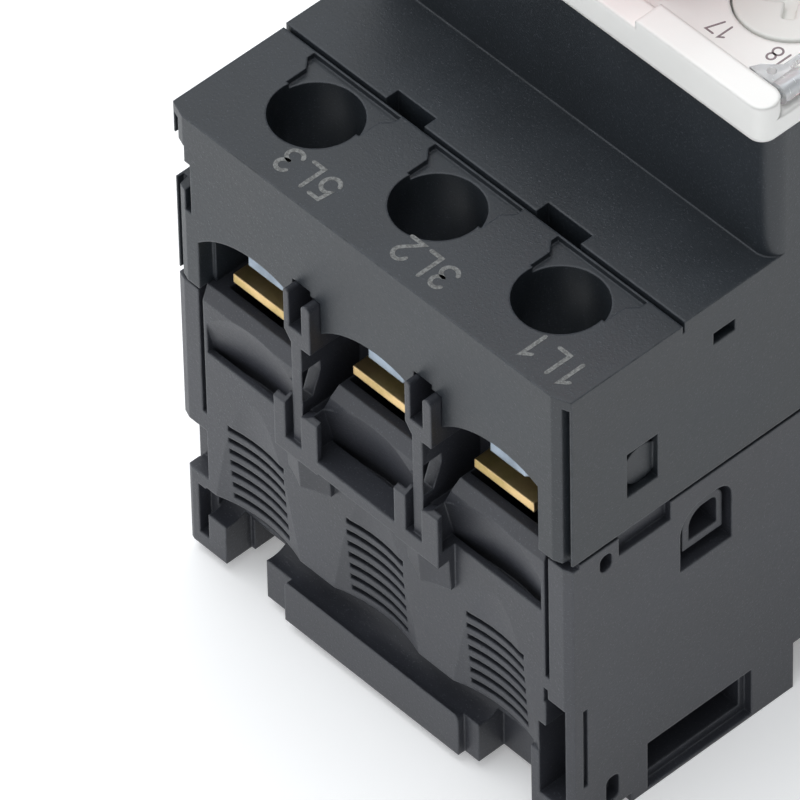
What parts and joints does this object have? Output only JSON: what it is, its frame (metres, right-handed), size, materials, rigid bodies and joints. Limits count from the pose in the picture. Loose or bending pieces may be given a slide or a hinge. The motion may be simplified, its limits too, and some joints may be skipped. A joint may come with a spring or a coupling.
{
  "type": "motor protection breaker",
  "caption": "Three-pole push-button motor protection breaker for rail mounting, with screw clamp terminals, an adjustable trip dial and a clear sealing flap beside the dial.",
  "frame": {"origin": "centre of the bounding box in X and Y, on the plane of the rear feet", "axes": "+Z towards the front plate, -Y towards the line terminals, +X towards pole 1, the breaker's left side as seen from the front with the line terminals up"},
  "size_m": [0.0446, 0.089, 0.0785],
  "materials": {
    "charcoal_base": "fine eroded mould texture",
    "charcoal_front": "fine eroded mould texture",
    "white_plate": "satin gloss",
    "red_button": "gloss",
    "green_button": "gloss",
    "white_dial": "satin gloss",
    "clear_cover": "clear polycarbonate",
    "orange_slide": "satin",
    "brass_terminal": "stamped, bright edges",
    "zinc_screw": "bright zinc plate",
    "zinc_saddle": "bright zinc plate",
    "copper": "bare copper alloy",
    "black_moulding": "moulded nylon",
    "spring_steel": "drawn wire",
    "plated_steel": "zinc plated"
  },
  "bodies": {
    "housing": {"base_housing": "charcoal_base", "front_housing": "charcoal_front", "front_plate": "white_plate", "housing_screws": "zinc_screw", "cover_pin": "plated_steel", "clip_spring": "spring_steel", "stop_spring": "spring_steel", "start_spring": "spring_steel", "mechanism_frame": "plated_steel", "lever_pin": "plated_steel", "line_terminal_1": "brass_terminal", "line_terminal_3": "brass_terminal", "line_terminal_5": "brass_terminal", "load_terminal_2": "brass_terminal", "load_terminal_4": "brass_terminal", "load_terminal_6": "brass_terminal", "arc_chute_1": "plated_steel", "arc_chute_2": "plated_steel", "arc_chute_3": "plated_steel", "magnet_coil_1": "copper", "magnet_coil_2": "copper", "magnet_coil_3": "copper", "bimetal_1": "plated_steel", "bimetal_2": "plated_steel", "bimetal_3": "plated_steel"},
    "rail_clip": {"din_clip": "black_moulding"},
    "stop": {"stop_button": "red_button"},
    "start": {"start_button": "green_button"},
    "dial": {"current_dial": "white_dial"},
    "cover": {"dial_cover": "clear_cover"},
    "test": {"test_slide": "orange_slide"},
    "lever": {"latch_lever": "black_moulding"},
    "carrier": {"contact_carrier": "black_moulding", "moving_contact_1": "copper", "moving_contact_2": "copper", "moving_contact_3": "copper", "contact_spring_1": "spring_steel", "contact_spring_2": "spring_steel", "contact_spring_3": "spring_steel"},
    "bar": {"trip_bar": "black_moulding"},
    "slider": {"trip_slider": "black_moulding"},
    "plunger_1": {"trip_plunger_1": "plated_steel"},
    "plunger_2": {"trip_plunger_2": "plated_steel"},
    "plunger_3": {"trip_plunger_3": "plated_steel"},
    "saddle_1": {"line_saddle_1": "zinc_saddle"},
    "screw_1": {"line_screw_1": "zinc_screw"},
    "saddle_3": {"line_saddle_3": "zinc_saddle"},
    "screw_3": {"line_screw_3": "zinc_screw"},
    "saddle_5": {"line_saddle_5": "zinc_saddle"},
    "screw_5": {"line_screw_5": "zinc_screw"},
    "saddle_2": {"load_saddle_2": "zinc_saddle"},
    "screw_2": {"load_screw_2": "zinc_screw"},
    "saddle_4": {"load_saddle_4": "zinc_saddle"},
    "screw_4": {"load_screw_4": "zinc_screw"},
    "saddle_6": {"load_saddle_6": "zinc_saddle"},
    "screw_6": {"load_screw_6": "zinc_screw"}
  },
  "joints": [
    {"name": "rail_clip_pull", "type": "slide", "parent": "housing", "child": "rail_clip", "axis": [0, 1, 0], "range_m": [0, 0.003], "stiffness_N_per_m": 800, "springref_m": -0.001, "deforming": ["clip_spring"]},
    {"name": "stop_press", "type": "slide", "parent": "housing", "child": "stop", "axis": [0, 0, -1], "range_m": [0, 0.0035], "stiffness_N_per_m": 500, "springref_m": -0.002, "deforming": ["stop_spring"]},
    {"name": "start_press", "type": "slide", "parent": "housing", "child": "start", "axis": [0, 0, -1], "range_m": [0, 0.004], "stiffness_N_per_m": 500, "springref_m": -0.002, "deforming": ["start_spring"]},
    {"name": "dial_turn", "type": "hinge", "parent": "housing", "child": "dial", "pos_m": [0.0138, -0.0112, 0.0645], "axis": [0, 0, 1], "range_deg": [0, 240]},
    {"name": "cover_open", "type": "hinge", "parent": "housing", "child": "cover", "pos_m": [0.021, -0.0126, 0.0658], "axis": [0, 1, 0], "range_deg": [0, 85]},
    {"name": "test_shift", "type": "slide", "parent": "housing", "child": "test", "axis": [1, 0, 0], "range_m": [0, 0.0025], "stiffness_N_per_m": 200, "springref_m": -0.001},
    {"name": "lever_tilt", "type": "hinge", "parent": "housing", "child": "lever", "pos_m": [0, 0, 0.044], "axis": [-1, 0, 0], "range_deg": [0, 12.1]},
    {"name": "contact_lift", "type": "slide", "parent": "housing", "child": "carrier", "axis": [0, 0, 1], "range_m": [0, 0.0022]},
    {"name": "trip_slider_shift", "type": "slide", "parent": "housing", "child": "slider", "axis": [0, 1, 0], "range_m": [0, 0.0012]},
    {"name": "trip_bar_tilt", "type": "hinge", "parent": "housing", "child": "bar", "pos_m": [0, 0.017, 0.036], "axis": [-1, 0, 0], "range_deg": [0, 10.5]},
    {"name": "plunger_1_lift", "type": "slide", "parent": "housing", "child": "plunger_1", "axis": [0, 0, 1], "range_m": [0, 0.0016]},
    {"name": "plunger_2_lift", "type": "slide", "parent": "housing", "child": "plunger_2", "axis": [0, 0, 1], "range_m": [0, 0.0016]},
    {"name": "plunger_3_lift", "type": "slide", "parent": "housing", "child": "plunger_3", "axis": [0, 0, 1], "range_m": [0, 0.0016]},
    {"name": "saddle_1_travel", "type": "slide", "parent": "housing", "child": "saddle_1", "axis": [0, 0, 1], "range_m": [-0.0013, 0.0024]},
    {"name": "screw_1_turn", "type": "hinge", "parent": "saddle_1", "child": "screw_1", "pos_m": [0.01366, -0.03535, 0.038], "axis": [0, 0, 1], "range_deg": [-670, 1236]},
    {"name": "saddle_3_travel", "type": "slide", "parent": "housing", "child": "saddle_3", "axis": [0, 0, 1], "range_m": [-0.0013, 0.0024]},
    {"name": "screw_3_turn", "type": "hinge", "parent": "saddle_3", "child": "screw_3", "pos_m": [0, -0.03535, 0.038], "axis": [0, 0, 1], "range_deg": [-670, 1236]},
    {"name": "saddle_5_travel", "type": "slide", "parent": "housing", "child": "saddle_5", "axis": [0, 0, 1], "range_m": [-0.0013, 0.0024]},
    {"name": "screw_5_turn", "type": "hinge", "parent": "saddle_5", "child": "screw_5", "pos_m": [-0.01366, -0.03535, 0.038], "axis": [0, 0, 1], "range_deg": [-670, 1236]},
    {"name": "saddle_2_travel", "type": "slide", "parent": "housing", "child": "saddle_2", "axis": [0, 0, 1], "range_m": [-0.0013, 0.0024]},
    {"name": "screw_2_turn", "type": "hinge", "parent": "saddle_2", "child": "screw_2", "pos_m": [0.01366, 0.03535, 0.038], "axis": [0, 0, 1], "range_deg": [-670, 1236]},
    {"name": "saddle_4_travel", "type": "slide", "parent": "housing", "child": "saddle_4", "axis": [0, 0, 1], "range_m": [-0.0013, 0.0024]},
    {"name": "screw_4_turn", "type": "hinge", "parent": "saddle_4", "child": "screw_4", "pos_m": [0, 0.03535, 0.038], "axis": [0, 0, 1], "range_deg": [-670, 1236]},
    {"name": "saddle_6_travel", "type": "slide", "parent": "housing", "child": "saddle_6", "axis": [0, 0, 1], "range_m": [-0.0013, 0.0024]},
    {"name": "screw_6_turn", "type": "hinge", "parent": "saddle_6", "child": "screw_6", "pos_m": [-0.01366, 0.03535, 0.038], "axis": [0, 0, 1], "range_deg": [-670, 1236]}
  ],
  "couplings": [
    {"joint": "lever_tilt", "follows": "start_press", "rad_per_m": 52.36},
    {"joint": "contact_lift", "follows": "start_press", "ratio": 0.55},
    {"joint": "trip_bar_tilt", "follows": "trip_slider_shift", "rad_per_m": 150},
    {"joint": "screw_1_turn", "follows": "saddle_1_travel", "rad_per_m": 8976},
    {"joint": "screw_3_turn", "follows": "saddle_3_travel", "rad_per_m": 8976},
    {"joint": "screw_5_turn", "follows": "saddle_5_travel", "rad_per_m": 8976},
    {"joint": "screw_2_turn", "follows": "saddle_2_travel", "rad_per_m": 8976},
    {"joint": "screw_4_turn", "follows": "saddle_4_travel", "rad_per_m": 8976},
    {"joint": "screw_6_turn", "follows": "saddle_6_travel", "rad_per_m": 8976}
  ]
}
